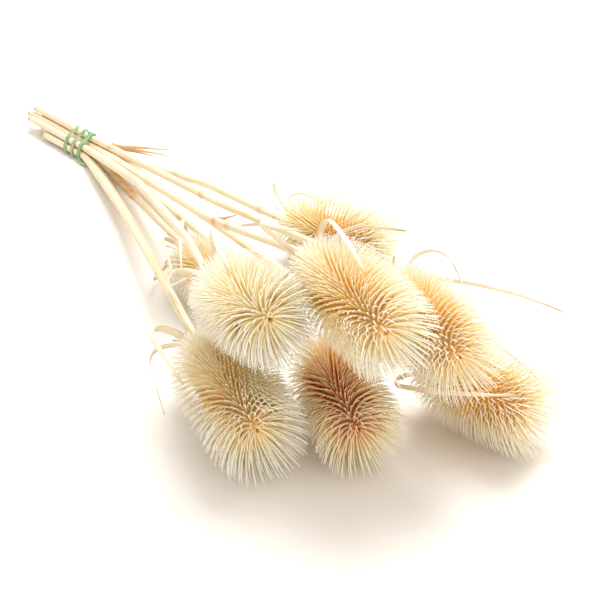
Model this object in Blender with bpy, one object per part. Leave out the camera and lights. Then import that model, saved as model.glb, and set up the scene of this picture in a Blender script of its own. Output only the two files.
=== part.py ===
"""A bunch of eight dried teasel heads on their stems, tied near the cut ends and lying on its side."""

import math
import random
from typing import NamedTuple

import bpy
import numpy as np

MM = 0.001

# Where the middle of the whole bunch stands in the layout below, so that the origin is under it
MIDDLE = (24.6, -4.3)

# Seed heads: an egg-shaped core closely set with spines
SPINE_COLUMNS = 17
SPINE_ROWS = 20
CORE_FULLNESS = 0.8
CORE_FROM = -72.0
CORE_TO = 83.0
CROWN_HOLLOW = 1.5
ALONG = (0.0, 0.12, 0.35, 0.5, 0.7, 0.88, 0.96, 1.0)
SPINE_LEAN = (-42.0, -24.0, 0.0, 18.0, 33.0, 42.0, 52.0, 72.0)
SPINE_GROWTH = (0.62, 0.85, 1.0, 1.05, 1.2, 1.5, 1.65, 1.0)
SPINE_UNEVEN = 0.06
LEAN_UNEVEN = 3.0
PRESS_SOFTNESS = 1.2
PRESS_RANGE = 12.0
PRESS_GAP = 0.35
TABLE_BITE = 0.5
NEIGHBOUR_SHARE = 1.5

# Stems: bundled in slots at the tie, then fanning out to the heads
STEM_SIDES = 8
STEM_RADIUS_AT_TIE = 2.5
STEM_RADIUS_AT_HEAD = 2.0
STEM_FILL = 40.0
STEM_STEP = 21.0
STEM_PITCH = 5.5
STEM_TOP_GAP = 3.1
STEM_STRAIGHT = 6.0
LINE_STEPS = 40
LINE_LEAVE = 0.1
LINE_LAND = 0.06
ROW_RISE = 0.87
KNOT_SWELL = 1.3
KNOT_HALF = 3.5
BEND_STEP = 11.0
SHOOT_RADIUS = 1.0
SHOOT_TAPER = 0.6
SHOOT_DROOP = -0.05
SHOOT_SHARES = (0.12, 0.4, 0.7, 1.0)
TIE_AT = (17.4, 191.0)
TIE_HEADING = 11.0
TIE_HALF = 12.5

# Tie: a round string wound over the bundle
STRING_RADIUS = 1.0
STRING_SIDES = 6
STRING_TURNS = 2.4
STRING_PITCH = 9.0
STRING_CLEAR = 0.35
STRING_STEPS = 14
STRING_LEAVES = 195.0
STRING_TAIL = ((-1.0, -1.6, 2.2), (-1.8, -2.4, 6.0), (-1.2, -2.5, 11.0))
BUNDLE_HEIGHT = 4.6

# Bracts: narrow blades that spring from a small disc under each head
DISC_RADIUS = 5.5
DISC_THICKNESS = 2.2
DISC_SIDES = 12
PART_GAP = 0.35
BLADE_WIDTH = 1.8
BLADE_TIP_WIDTH = 0.8
BLADE_THICKNESS = 0.65
BLADE_RINGS = 12
BLADE_SUBSTEPS = 5
BLADE_START = -48.0
BLADE_TURN_FROM = 4.0


class Head(NamedTuple):
    """One head: where its core starts, which way it points, its core, spines and stem."""

    base: tuple
    heading: float
    pitch: float
    length: float
    radius: float
    spine: float
    slot: tuple
    tail: float
    girth: float
    via: tuple
    knots: tuple
    shoots: tuple
    blades: tuple


# shoots: number of the knot, heading, pitch, length
# blades: azimuth round the head (0 = right, 90 = up), length, last lean from the radial,
# length of the turn, drift
HEADS = (
    Head((-42, -129.5, 24), -7, 0, 75, 10.5, 15.5, (-1.5, 0), 41, 3.7, ((-3, 70, 11),), (), (),
         ((142, 72, 100, 38, 20), (170, 66, 82, 32, 28), (122, 84, 58, 45, -22), (330, 50, 66, 20, 0))),
    Head((-33, -134, 60), -4, 13, 60, 10.5, 15, (-1.0, 1), 65, 2.8, ((7, 64, 29), (-18, -63, 52)), (), (),
         ((125, 44, 97, 34, 54), (95, 56, 87, 24, -30), (351, 72, 56, 40, -66), (70, 78, 104, 40, 45))),
    Head((0, -170, 81), -4, 0, 68, 10.5, 14.5, (0.0, 1), 75, 2.8, ((6, -40, 49),), (0.728, 0.767),
         ((0, 24, 30, 13),),
         ((54, 86, 86, 24, 50), (146, 90, 74, 45, -24), (20, 58, 60, 36, 0))),
    Head((6, -164, 24), -14, -2, 62, 9.5, 14, (0.5, 0), 55, 2.5, ((24.5, -42, 14),), (0.5,), (),
         ((120, 40, 30, 36, 0), (60, 44, 30, 36, 0))),
    Head((36, -187, 66), -6, -4, 60, 9.5, 13.5, (0.5, 2), 69, 2.5, ((27, -8, 41),), (0.24, 0.56),
         ((0, 22, 15, 54),),
         ((358, 94, 20, 12, -13), (40, 66, 104, 40, -36), (310, 40, 110, 46, 0), (336, 90, 46, 13, -10))),
    Head((50.5, -197, 22), 17, 0, 58, 9.5, 14.5, (1.0, 1), 63, 2.5, (), (0.19, 0.5), (),
         ((205, 90, 86, 22, -77), (20, 60, 88, 36, 10))),
    Head((69, -24, 24), 24, 0, 62, 10.5, 16, (1.5, 0), 57, 2.7, ((57, 64, 16), (62, 24, 19)), (0.555, 0.9), (),
         ((65, 35, 48, 23, -66), (77, 66, 40, 28, 58), (180, 50, 85, 58, -15), (299, 74, 61, 33, 48))),
    Head((2, -18, 18), -6, 0, 48, 8, 11, (-0.5, 0), 51, 2.7, ((13, 90, 9),), (0.424, 0.582), (),
         ((141, 70, 80, 15, 16), (238, 70, 71, 18, -84), (68, 73, 89, 20, 90))),
)


def unit(v):
    """Length one in the same direction."""
    v = np.asarray(v, float)
    return v / np.linalg.norm(v)


def heading_vector(heading, pitch=0.0):
    """Direction at a heading from -Y towards +X and a pitch upwards, in degrees."""
    h = math.radians(heading)
    p = math.radians(pitch)
    return np.array([math.sin(h) * math.cos(p), -math.cos(h) * math.cos(p), math.sin(p)])


def cross_axes(axis):
    """Right and up directions across an axis, as seen from its tip."""
    right = unit(np.cross((0.0, 0.0, 1.0), axis))
    return right, np.cross(axis, right)


def flowing_line(points, ways):
    """Fine samples of a smooth curve through points, with a direction at each."""
    out = []
    for a, b, u, v in zip(points, points[1:], ways, ways[1:]):
        far = np.linalg.norm(b - a)
        for t in np.linspace(0.0, 1.0, LINE_STEPS, endpoint=False):
            out.append((1 - t) ** 3 * a + 3 * t * (1 - t) ** 2 * (a + u * far * LINE_LEAVE)
                       + 3 * t * t * (1 - t) * (b - v * far * LINE_LAND) + t ** 3 * b)
    out.append(points[-1])
    return np.array(out)


def run_along(path):
    """Distance from the start at each point of a path."""
    return np.concatenate([[0.0], np.cumsum(np.linalg.norm(np.diff(path, axis=0), axis=1))])


def tangents(path):
    """Unit direction at each point of a path."""
    d = np.gradient(path, axis=0)
    return d / np.linalg.norm(d, axis=1)[:, None]


class Solid:
    """Points and faces of one closed body, in millimetres."""

    def __init__(self):
        self.points = []
        self.faces = []

    def add(self, points):
        """Add points and return their numbers."""
        first = len(self.points)
        self.points.extend(np.asarray(p, float) for p in points)
        return list(range(first, len(self.points)))

    def grow(self, ring, points, skip=()):
        """Walls from a ring to a new ring of points, with the skipped walls left out."""
        new = self.add(points)
        n = len(ring)
        for i in range(n):
            if i not in skip:
                k = (i + 1) % n
                self.faces.append((ring[i], ring[k], new[k], new[i]))
        return new

    def cap(self, ring):
        """Close the end of a ring."""
        self.faces.append(tuple(ring))

    def limb(self, quad, rings):
        """A four-sided limb grown out of a side quad, closed at its end."""
        ring = list(quad)
        for points in rings:
            ring = self.grow(ring, points)
        self.cap(ring)

    def node(self, name, colour, roughness):
        """Make the named object with its own material."""
        mesh = bpy.data.meshes.new(name)
        shift = np.array([MIDDLE[0], MIDDLE[1], 0.0])
        points = [tuple((p - shift) * MM) for p in self.points]
        mesh.from_pydata(points, [], self.faces)
        mesh.update()
        material = bpy.data.materials.new(name + "_finish")
        material.use_nodes = True
        shader = material.node_tree.nodes["Principled BSDF"]
        shader.inputs["Base Color"].default_value = (*colour, 1.0)
        shader.inputs["Roughness"].default_value = roughness
        mesh.materials.append(material)
        thing = bpy.data.objects.new(name, mesh)
        bpy.context.collection.objects.link(thing)
        return thing


# Heads

def nearest_between(p, u, q, v):
    """Nearest points of two segments that start at p and q and run along u and v."""
    steps = np.linspace(0.0, 1.0, 41)[:, None]
    a = p + steps * u
    b = q + steps * v
    far = np.linalg.norm(a[:, None] - b[None], axis=2)
    i, j = np.unravel_index(far.argmin(), far.shape)
    return a[i], b[j], far[i, j]


def press_planes(head):
    """Planes that hold this head's spines clear of its neighbours, and the table under it."""
    planes = [(np.zeros(3), np.array([0.0, 0.0, -1.0]), -TABLE_BITE)]
    u = heading_vector(head.heading, head.pitch) * head.length
    for other in HEADS:
        if other is head:
            continue
        v = heading_vector(other.heading, other.pitch) * other.length
        a, b, apart = nearest_between(np.array(head.base, float), u, np.array(other.base, float), v)
        mine = head.radius + head.spine
        whole = mine + other.radius + other.spine
        if apart < whole * NEIGHBOUR_SHARE:
            m = (b - a) / apart
            planes.append((a + m * apart * mine / whole, m, PRESS_GAP))
    return planes


def press(point, planes):
    """Move a spine's tip softly back behind each plane."""
    for at, out, gap in planes:
        over = (point - at) @ out + gap
        if over > -PRESS_RANGE:
            point = point - out * (over + PRESS_SOFTNESS * math.log1p(math.exp(-over / PRESS_SOFTNESS)))
    return np.array([point[0], point[1], max(point[2], 0.0)])


def core_point(head, frame, psi, turn):
    """A point on the core at an angle psi from its waist and a turn round its axis."""
    right, up, axis = frame
    radius = head.radius * math.cos(psi) ** CORE_FULLNESS
    along = 0.5 * head.length * (1.0 + math.sin(psi))
    side = right * math.cos(turn) + up * math.sin(turn)
    return np.array(head.base, float) + axis * along + side * radius


def row_angles(head):
    """Angles of the rows of the core's lattice, even along its side."""
    fine = np.radians(np.linspace(CORE_FROM, CORE_TO, 200))
    r = head.radius * np.cos(fine) ** CORE_FULLNESS
    y = 0.5 * head.length * np.sin(fine)
    run = np.concatenate([[0.0], np.cumsum(np.hypot(np.diff(r), np.diff(y)))])
    return np.interp(np.linspace(0.0, run[-1], SPINE_ROWS + 1), run, fine)


def spine_tip(head, frame, psi, turn, chance):
    """The tip of the spine that stands on the core at psi and turn."""
    right, up, axis = frame
    t = 0.5 * (1.0 + math.sin(psi))
    lean = math.radians(np.interp(t, ALONG, SPINE_LEAN) + chance.uniform(-1, 1) * LEAN_UNEVEN)
    long = head.spine * np.interp(t, ALONG, SPINE_GROWTH) * (1.0 + chance.uniform(-1, 1) * SPINE_UNEVEN)
    side = right * math.cos(turn) + up * math.sin(turn)
    return core_point(head, frame, psi, turn) + (side * math.cos(lean) + axis * math.sin(lean)) * long


def build_head(number, head):
    """The core with its lattice of spines as one body."""
    chance = random.Random(number)
    axis = heading_vector(head.heading, head.pitch)
    right, up = cross_axes(axis)
    frame = (right, up, axis)
    planes = press_planes(head)
    solid = Solid()
    psis = row_angles(head)
    step = 2.0 * math.pi / SPINE_COLUMNS
    rows = []
    for i, psi in enumerate(psis):
        turns = [(j + 0.5 * (i % 2)) * step for j in range(SPINE_COLUMNS)]
        rows.append(solid.add([core_point(head, frame, psi, turn) for turn in turns]))
    for i in range(1, SPINE_ROWS):
        for j in range(SPINE_COLUMNS):
            k = (j + 1) % SPINE_COLUMNS
            between = k if i % 2 else j
            turn = (j + 0.5 + 0.5 * (i % 2)) * step
            tip = press(spine_tip(head, frame, psis[i], turn, chance), planes)
            (apex,) = solid.add([tip])
            ring = (rows[i - 1][between], rows[i][k], rows[i + 1][between], rows[i][j])
            for a in range(4):
                solid.faces.append((ring[a], ring[(a + 1) % 4], apex))
    close_core(solid, rows, head, frame)
    return solid


def close_core(solid, rows, head, frame):
    """Triangles that fill the first and last rows, a flat base and a hollow crown."""
    n = SPINE_COLUMNS
    base = np.mean([solid.points[k] for k in rows[0]], axis=0)
    crown = np.mean([solid.points[k] for k in rows[-1]], axis=0) - frame[2] * CROWN_HOLLOW
    low, high = solid.add([base, crown])
    last = len(rows) - 1
    for j in range(n):
        k = (j + 1) % n
        solid.faces.append((rows[0][j], low, rows[0][k]))
        solid.faces.append((rows[0][j], rows[0][k], rows[1][j]))
        over = rows[last - 1][k] if last % 2 else rows[last - 1][j]
        solid.faces.append((rows[last][j], over, rows[last][k]))
        solid.faces.append((rows[last][j], rows[last][k], high))


# Stems

def slot_point(slot, along):
    """A place in the bundle at the tie, moved along the bundle."""
    axis = heading_vector(TIE_HEADING)
    right, _ = cross_axes(axis)
    column, row = slot
    spot = np.array([TIE_AT[0], TIE_AT[1], BUNDLE_HEIGHT + row * STEM_PITCH * ROW_RISE])
    return spot + axis * along + right * column * STEM_PITCH


def stem_path(head):
    """The middle line of a stem from its cut end to just under its head."""
    tie = heading_vector(TIE_HEADING)
    axis = heading_vector(head.heading, head.pitch)
    top = np.array(head.base, float) - axis * STEM_TOP_GAP
    points = [slot_point(head.slot, -head.tail), slot_point(head.slot, TIE_HALF)]
    ways = [tie, tie]
    for spot in head.via:
        points.append(np.array(spot, float))
        ways.append(unit(top - points[-2]))
    points += [top - axis * STEM_STRAIGHT, top]
    ways += [axis, axis]
    return flowing_line(points, ways)


def stem_radius(head, far, whole):
    """Stem radius at a distance from the cut end, swollen at the knots."""
    front = head.tail + TIE_HALF
    r = np.interp(far, (front, front + STEM_FILL, whole),
                  (STEM_RADIUS_AT_TIE, head.girth, STEM_RADIUS_AT_HEAD))
    at_knot = any(abs(far - knot * whole) < 0.5 * KNOT_HALF for knot in head.knots)
    return r * KNOT_SWELL if at_knot else r


def stem_stations(head, whole):
    """Distances from the cut end where a stem has a ring of points."""
    even = np.linspace(0.0, whole, int(round(whole / STEM_STEP)) + 1).tolist()
    front = head.tail + TIE_HALF
    marks = [front, front + BEND_STEP, front + 2 * BEND_STEP]
    spread = [s for s in even if all(abs(s - mark) > 0.5 * BEND_STEP for mark in marks)] + marks
    stations = [s for s in spread if all(abs(s - knot * whole) > 2 * KNOT_HALF for knot in head.knots)]
    for knot in head.knots:
        stations += [knot * whole - KNOT_HALF, knot * whole, knot * whole + KNOT_HALF]
    return sorted(stations)


def facing_wall(ring, new, points, way):
    """The number of the wall between two rings that faces a direction most."""
    middle = np.mean([points[k] for k in ring + new], axis=0)
    n = len(ring)
    edges = [0.5 * (points[ring[k]] + points[ring[(k + 1) % n]]) - middle for k in range(n)]
    return int(np.argmax([edge @ way for edge in edges]))


def shoot_rings(corners, way, length):
    """Four-sided sections of a dried side shoot that leaves a wall of its stem."""
    start = np.mean(corners, axis=0)
    edge = corners[1] - corners[0]
    across = unit(edge - way * (edge @ way))
    over = np.cross(across, way)
    rings = []
    for share in SHOOT_SHARES:
        middle = start + way * length * share + np.array([0.0, 0.0, SHOOT_DROOP * length * share * share])
        h = SHOOT_RADIUS * (1.0 - SHOOT_TAPER * share)
        rings.append([middle + across * h * a + over * h * b for a, b in ((-1, 1), (1, 1), (1, -1), (-1, -1))])
    return rings


def stem_rings(solid, head):
    """Rings of points along a stem, and the shoot that leaves after some of them."""
    path = stem_path(head)
    run = run_along(path)
    stations = stem_stations(head, run[-1])
    line = np.stack([np.interp(stations, run, path[:, k]) for k in range(3)], axis=1)
    ways = tangents(line)
    rings = []
    for far, point, way in zip(stations, line, ways):
        right, up = cross_axes(way)
        r = stem_radius(head, far, run[-1])
        turns = [2 * math.pi * k / STEM_SIDES for k in range(STEM_SIDES)]
        rings.append(solid.add([point + (right * math.cos(a) + up * math.sin(a)) * r for a in turns]))
    shoots = {}
    for knot, heading, pitch, length in head.shoots:
        at = int(np.argmin(np.abs(np.array(stations) - head.knots[knot] * run[-1])))
        way = heading_vector(heading, pitch)
        sideways = way - ways[at] * (way @ ways[at])
        shoots[at] = (facing_wall(rings[at], rings[at + 1], solid.points, sideways), way, length)
    return rings, shoots


def build_stem(head):
    """A round stem with its knots and dried side shoots."""
    solid = Solid()
    rings, shoots = stem_rings(solid, head)
    solid.cap(reversed(rings[0]))
    for at, (ring, new) in enumerate(zip(rings, rings[1:])):
        wall, way, length = shoots.get(at, (None, None, None))
        for k in range(STEM_SIDES):
            quad = (ring[k], ring[(k + 1) % STEM_SIDES], new[(k + 1) % STEM_SIDES], new[k])
            if k == wall:
                solid.limb(quad, shoot_rings([solid.points[p] for p in quad], way, length))
            else:
                solid.faces.append(quad)
    solid.cap(rings[-1])
    return solid


# Bracts

def blade_path(head, blade):
    """The middle line of one blade, swept out from the disc's rim, and its sideways directions."""
    azimuth, length, last, turn_length, drift = blade
    axis = heading_vector(head.heading, head.pitch)
    right, up = cross_axes(axis)
    centre = np.array(head.base, float) - axis * (PART_GAP + 0.5 * DISC_THICKNESS)
    out, along = DISC_RADIUS * math.cos(math.pi / DISC_SIDES), 0.0
    points, sides = [], []
    steps = (BLADE_RINGS - 1) * BLADE_SUBSTEPS
    for k in range(steps + 1):
        s = k * length / steps
        share = min(max((s - BLADE_TURN_FROM) / turn_length, 0.0), 1.0)
        lean = math.radians(BLADE_START + (last - BLADE_START) * share * share * (3 - 2 * share))
        angle = math.radians(azimuth + drift * k / steps)
        side = right * math.cos(angle) + up * math.sin(angle)
        if k % BLADE_SUBSTEPS == 0:
            points.append(centre + side * out + axis * along)
            sides.append(up * math.cos(angle) - right * math.sin(angle))
        out += math.cos(lean) * length / steps
        along += math.sin(lean) * length / steps
    return np.array(points), sides


def blade_rings(head, blade):
    """Four-sided sections of a blade, thinning to its tip."""
    path, sides = blade_path(head, blade)
    ways = tangents(path)
    rings = []
    for k in range(1, len(path)):
        t = k / (len(path) - 1)
        across = unit(sides[k] - ways[k] * (sides[k] @ ways[k]))
        over = np.cross(ways[k], across)
        w = 0.5 * (BLADE_WIDTH + (BLADE_TIP_WIDTH - BLADE_WIDTH) * t * t)
        h = 0.5 * BLADE_THICKNESS
        rings.append([path[k] - across * w - over * h, path[k] + across * w - over * h,
                      path[k] + across * w + over * h, path[k] - across * w + over * h])
    return rings


def build_involucre(head):
    """The disc under a head with its blades."""
    axis = heading_vector(head.heading, head.pitch)
    right, up = cross_axes(axis)
    low = np.array(head.base, float) - axis * (PART_GAP + DISC_THICKNESS)
    solid = Solid()
    turns = [2 * math.pi * (k + 0.5) / DISC_SIDES for k in range(DISC_SIDES)]
    rim = [(right * math.cos(a) + up * math.sin(a)) * DISC_RADIUS for a in turns]
    ring = solid.add([low + p for p in rim])
    solid.cap(reversed(ring))
    taken = {}
    for blade in head.blades:
        side = int(round(blade[0] * DISC_SIDES / 360.0)) - 1
        taken[side % DISC_SIDES] = blade
    top = solid.grow(ring, [low + p + axis * DISC_THICKNESS for p in rim], skip=set(taken))
    solid.cap(top)
    for side, blade in taken.items():
        k = (side + 1) % DISC_SIDES
        solid.limb((ring[side], ring[k], top[k], top[side]), blade_rings(head, blade))
    return solid


# Tie

def string_spot(angle):
    """Where the taut string stands across the bundle towards an angle."""
    way = np.array([math.cos(angle), math.sin(angle)])
    spots = [np.array([head.slot[0], head.slot[1] * ROW_RISE]) * STEM_PITCH for head in HEADS]
    return max(spots, key=lambda spot: spot @ way) + way * (STEM_RADIUS_AT_TIE + STRING_CLEAR + STRING_RADIUS)


def string_path():
    """The string's middle line, wound round the bundle and then along its loose tail."""
    axis = heading_vector(TIE_HEADING)
    right, up = cross_axes(axis)
    base = np.array([TIE_AT[0], TIE_AT[1], BUNDLE_HEIGHT])
    count = int(STRING_TURNS * STRING_STEPS)
    points = []
    for k in range(count + 1):
        spot = string_spot(math.radians(STRING_LEAVES) + 2 * math.pi * (k - count) / STRING_STEPS)
        along = STRING_PITCH * (k - 0.5 * count) / STRING_STEPS
        points.append(base + right * spot[0] + up * spot[1] + axis * along)
    end = points[-1]
    points += [end + right * tail[0] + up * tail[1] + axis * tail[2] for tail in STRING_TAIL]
    return np.array(points), axis


def build_tie():
    """The wound string as one body, pressed flat where it meets the table."""
    path, axis = string_path()
    solid = Solid()
    rings = []
    for point, way in zip(path, tangents(path)):
        across = unit(axis - way * (axis @ way)) if abs(axis @ way) < 0.7 else cross_axes(way)[0]
        over = np.cross(way, across)
        turns = [2 * math.pi * k / STRING_SIDES for k in range(STRING_SIDES)]
        points = [point + (across * math.cos(a) + over * math.sin(a)) * STRING_RADIUS for a in turns]
        rings.append([np.array([p[0], p[1], max(p[2], 0.0)]) for p in points])
    ring = solid.add(rings[0])
    solid.cap(reversed(ring))
    for points in rings[1:]:
        ring = solid.grow(ring, points)
    solid.cap(ring)
    return solid


def clear_scene():
    """Remove whatever the new file starts with."""
    for thing in list(bpy.data.objects):
        bpy.data.objects.remove(thing, do_unlink=True)


def main():
    """Build every piece of the bunch."""
    clear_scene()
    for number, head in enumerate(HEADS, 1):
        build_stem(head).node("stem_%d" % number, (0.72, 0.60, 0.40), 0.6)
        build_involucre(head).node("involucre_%d" % number, (0.78, 0.68, 0.48), 0.6)
        build_head(number, head).node("head_%d" % number, (0.74, 0.56, 0.33), 0.7)
    build_tie().node("tie", (0.24, 0.42, 0.22), 0.6)


main()
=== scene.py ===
"""A tied bunch of eight dried teasel heads, lying on a pale table in soft studio light."""

import logging
import math
import random
from dataclasses import dataclass, field
from enum import Enum

import bpy
import numpy as np
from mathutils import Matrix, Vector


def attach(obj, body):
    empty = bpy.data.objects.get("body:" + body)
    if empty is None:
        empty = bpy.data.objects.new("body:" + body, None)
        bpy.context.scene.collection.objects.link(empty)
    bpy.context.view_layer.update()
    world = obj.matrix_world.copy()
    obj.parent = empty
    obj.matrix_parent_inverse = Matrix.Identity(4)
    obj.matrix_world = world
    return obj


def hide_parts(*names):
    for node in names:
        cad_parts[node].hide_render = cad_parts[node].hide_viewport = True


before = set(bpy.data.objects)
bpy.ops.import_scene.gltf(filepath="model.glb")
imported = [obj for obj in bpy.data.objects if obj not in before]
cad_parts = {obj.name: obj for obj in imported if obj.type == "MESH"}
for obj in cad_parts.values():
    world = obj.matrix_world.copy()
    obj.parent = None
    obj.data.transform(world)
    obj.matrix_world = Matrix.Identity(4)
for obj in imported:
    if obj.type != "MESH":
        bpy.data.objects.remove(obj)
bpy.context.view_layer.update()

LOG = logging.getLogger("teasels")
MM = 0.001
MIDDLE = np.array([24.6, -4.3, 0.0])
BODY = "root"
TABLE_TOUCH = 0.02
NEAREST_STEPS = 41
SHOOT_SEED, PRICKLE_SEED, RUFF_SEED, TIE_SEED = 40, 900, 500, 77

GOLDEN_ANGLE = math.pi * (3.0 - math.sqrt(5.0))

Colour = tuple[int, int, int]
Points = np.ndarray
Place = tuple[float, float, float]
Span = tuple[float, float]
Row = tuple[float, ...]
Socket = bpy.types.NodeSocket
Material = bpy.types.Material
Thing = bpy.types.Object


class Slot(Enum):
    """The material slots of the record."""

    SPINES = "spines"
    BRACTS = "bracts"
    STEMS = "stems"
    TIE = "raffia"


@dataclass(frozen=True)
class Blade:
    """One long bract: where it leaves the disc, how long it is and how it turns."""

    azimuth: float
    length: float
    lean: float
    turn: float
    drift: float
    broad: float = 1.0


@dataclass(frozen=True)
class Shoot:
    """A dried side shoot that leaves a stem at one of its knots."""

    knot: int
    heading: float
    pitch: float
    length: float
    radius: float = 1.05


@dataclass(frozen=True)
class Tint:
    """Colours of one head's spines from their roots to their tips."""

    depth: Colour
    root: Colour
    shaft: Colour
    tip: Colour


@dataclass(frozen=True)
class Plan:
    """Where one head and its stem lie, in millimetres and degrees."""

    number: int
    base: Place
    heading: float
    pitch: float
    length: float
    radius: float
    spine: float
    slot: Span
    tail: float
    girth: float
    via: tuple[Place, ...]
    knots: Row
    shoots: tuple[Shoot, ...]
    blades: tuple[Blade, ...]
    tint: Tint
    wrap: Row = ()


GOLDEN = Tint((238, 174, 84), (251, 213, 122), (252, 234, 186), (254, 249, 234))
PALE = Tint((240, 194, 112), (251, 226, 154), (253, 241, 208), (254, 251, 240))
HONEY = Tint((240, 170, 70), (252, 211, 114), (252, 233, 186), (254, 249, 234))
RUST = Tint((150, 58, 16), (224, 132, 58), (250, 208, 144), (254, 243, 214))
AMBER = Tint((242, 174, 78), (252, 212, 120), (250, 223, 172), (252, 244, 226))
SAND = Tint((238, 180, 94), (250, 214, 132), (252, 234, 190), (254, 249, 234))

PLANS = (
    Plan(1, (-42, -129.5, 24), -7, 0, 75, 10.5, 15.5, (-1.5, 0), 41, 3.7, ((-3, 70, 11),), (), (),
         (Blade(142, 72, 100, 38, 20, 1.8), Blade(170, 66, 82, 32, 28, 1.2), Blade(122, 84, 58, 45, -22),
          Blade(330, 50, 66, 20, 0)), GOLDEN),
    Plan(2, (-33, -134, 60), -4, 13, 60, 10.5, 15, (-1.0, 1), 65, 2.8, ((7, 64, 29), (-18, -63, 52)),
         (), (),
         (Blade(125, 44, 97, 34, 54, 1.3), Blade(95, 56, 87, 24, -30), Blade(351, 72, 56, 40, -66),
          Blade(70, 78, 104, 40, 45, 1.4)), PALE),
    Plan(3, (0, -170, 81), -4, 0, 68, 10.5, 14.5, (0.0, 1), 75, 2.8, ((6, -40, 49),), (0.728, 0.767),
         (Shoot(0, 24, 30, 13),),
         (Blade(54, 86, 86, 24, 50, 1.5), Blade(146, 90, 74, 45, -24), Blade(20, 58, 60, 36, 0)), HONEY),
    Plan(4, (6, -164, 24), -14, -2, 62, 9.5, 14, (0.5, 0), 55, 2.5, ((24.5, -42, 14),), (0.5,), (),
         (Blade(120, 40, 30, 36, 0), Blade(60, 44, 30, 36, 0)), RUST),
    Plan(5, (36, -187, 66), -6, -4, 60, 9.5, 13.5, (0.5, 2), 69, 2.5, ((27, -8, 41),), (0.24, 0.56),
         (Shoot(0, 22, 15, 54, 1.5), Shoot(0, 25, 10, 47, 1.6), Shoot(0, 19, 17, 38, 1.3),
          Shoot(0, 28, 6, 34, 1.3)),
         (Blade(358, 94, 20, 12, -13), Blade(40, 66, 104, 40, -36), Blade(310, 40, 110, 46, 0),
          Blade(336, 90, 46, 13, -10)), AMBER),
    Plan(6, (50.5, -197, 22), 17, 0, 58, 9.5, 14.5, (1.0, 1), 63, 2.5, (), (0.19, 0.5), (),
         (Blade(205, 90, 86, 22, -77, 1.3), Blade(20, 60, 88, 36, 10)), AMBER),
    Plan(7, (69, -24, 24), 24, 0, 62, 10.5, 16, (1.5, 0), 57, 2.7, ((57, 64, 16), (62, 24, 19)),
         (0.555, 0.9), (),
         (Blade(65, 35, 48, 23, -66), Blade(77, 66, 40, 28, 58), Blade(180, 50, 85, 58, -15),
          Blade(299, 74, 61, 33, 48)), SAND),
    Plan(8, (2, -18, 18), -6, 0, 48, 8, 11, (-0.5, 0), 51, 2.7, ((13, 90, 9),), (0.424, 0.582), (),
         (Blade(141, 70, 80, 15, 16), Blade(238, 70, 71, 18, -84), Blade(68, 73, 89, 20, 90)), SAND,
         (0.43, 0.64)),
)


# Directions and lines


def unit(v: Points) -> Points:
    """Length one in the same direction, for one vector or rows of them."""
    v = np.asarray(v, float)
    return v / np.linalg.norm(v, axis=-1, keepdims=True)


def heading_vector(heading: float, pitch: float = 0.0) -> Points:
    """Direction at a heading from -Y towards +X and a pitch upwards, in degrees."""
    h, p = math.radians(heading), math.radians(pitch)
    return np.array([math.sin(h) * math.cos(p), -math.cos(h) * math.cos(p), math.sin(p)])


def cross_axes(axis: Points) -> tuple[Points, Points]:
    """Right and up directions across an axis, as seen from its tip."""
    right = unit(np.cross((0.0, 0.0, 1.0), axis))
    return right, np.cross(axis, right)


def circle(count: int) -> Points:
    """Even turns round a full circle, in radians."""
    return np.arange(count) * 2 * math.pi / count


def spokes(right: Points, up: Points, turns: Points) -> Points:
    """Directions straight out of an axis at turns round it."""
    return right * np.cos(turns)[..., None] + up * np.sin(turns)[..., None]


def round_grain(run: float, turns: Points, reach: float = 1.0) -> Points:
    """Grain of one ring: how far along the piece it is, and the place round it."""
    return np.stack([np.full(len(turns), run), np.cos(turns) * reach, np.sin(turns) * reach], axis=1)


def run_along(path: Points) -> Points:
    """Distance from the start at each point of a path."""
    return np.concatenate([[0.0], np.cumsum(np.linalg.norm(np.diff(path, axis=0), axis=1))])


def tangents(path: Points) -> Points:
    """Unit direction at each point of a path."""
    return unit(np.gradient(path, axis=0))


def even_path(path: Points, stations: Points) -> Points:
    """Points of a path at given distances from its start."""
    run = run_along(path)
    return np.stack([np.interp(stations, run, path[:, k]) for k in range(3)], axis=1)


def bump_at(x: Points, middle: float, width: float) -> Points:
    """A smooth hump of height one round a middle."""
    return np.exp(-(((x - middle) / width) ** 2))


def rise(x: Points, over: Span) -> Points:
    """A straight rise from 0 to 1 over a span, level before and after it."""
    return np.clip((x - over[0]) / (over[1] - over[0]), 0, 1)


@dataclass(frozen=True)
class Ripple:
    """A smooth uneven run of numbers, the same each time for the same seed."""

    seed: int
    lengths: Row = (61.0, 37.0, 17.0, 7.0)
    calm: float = 1.6

    def at(self, x: Points) -> Points:
        """Values about -1 to 1 at distances x, in millimetres.

        Args:
            x: The distances.

        Returns:
            The values.
        """
        chance = random.Random(self.seed)
        total = np.zeros_like(np.asarray(x, float))
        for k, length in enumerate(self.lengths):
            start = chance.uniform(0, 2 * math.pi)
            total = total + np.sin(x / length * 2 * math.pi + start) / (self.calm + k)
        return total


def put_in_scene(name: str, data: bpy.types.ID) -> Thing:
    """Add an object with its data to the scene.

    Args:
        name: Its name.
        data: Its mesh, camera or light.

    Returns:
        The new object.
    """
    thing = bpy.data.objects.new(name, data)
    bpy.context.scene.collection.objects.link(thing)
    return thing


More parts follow.
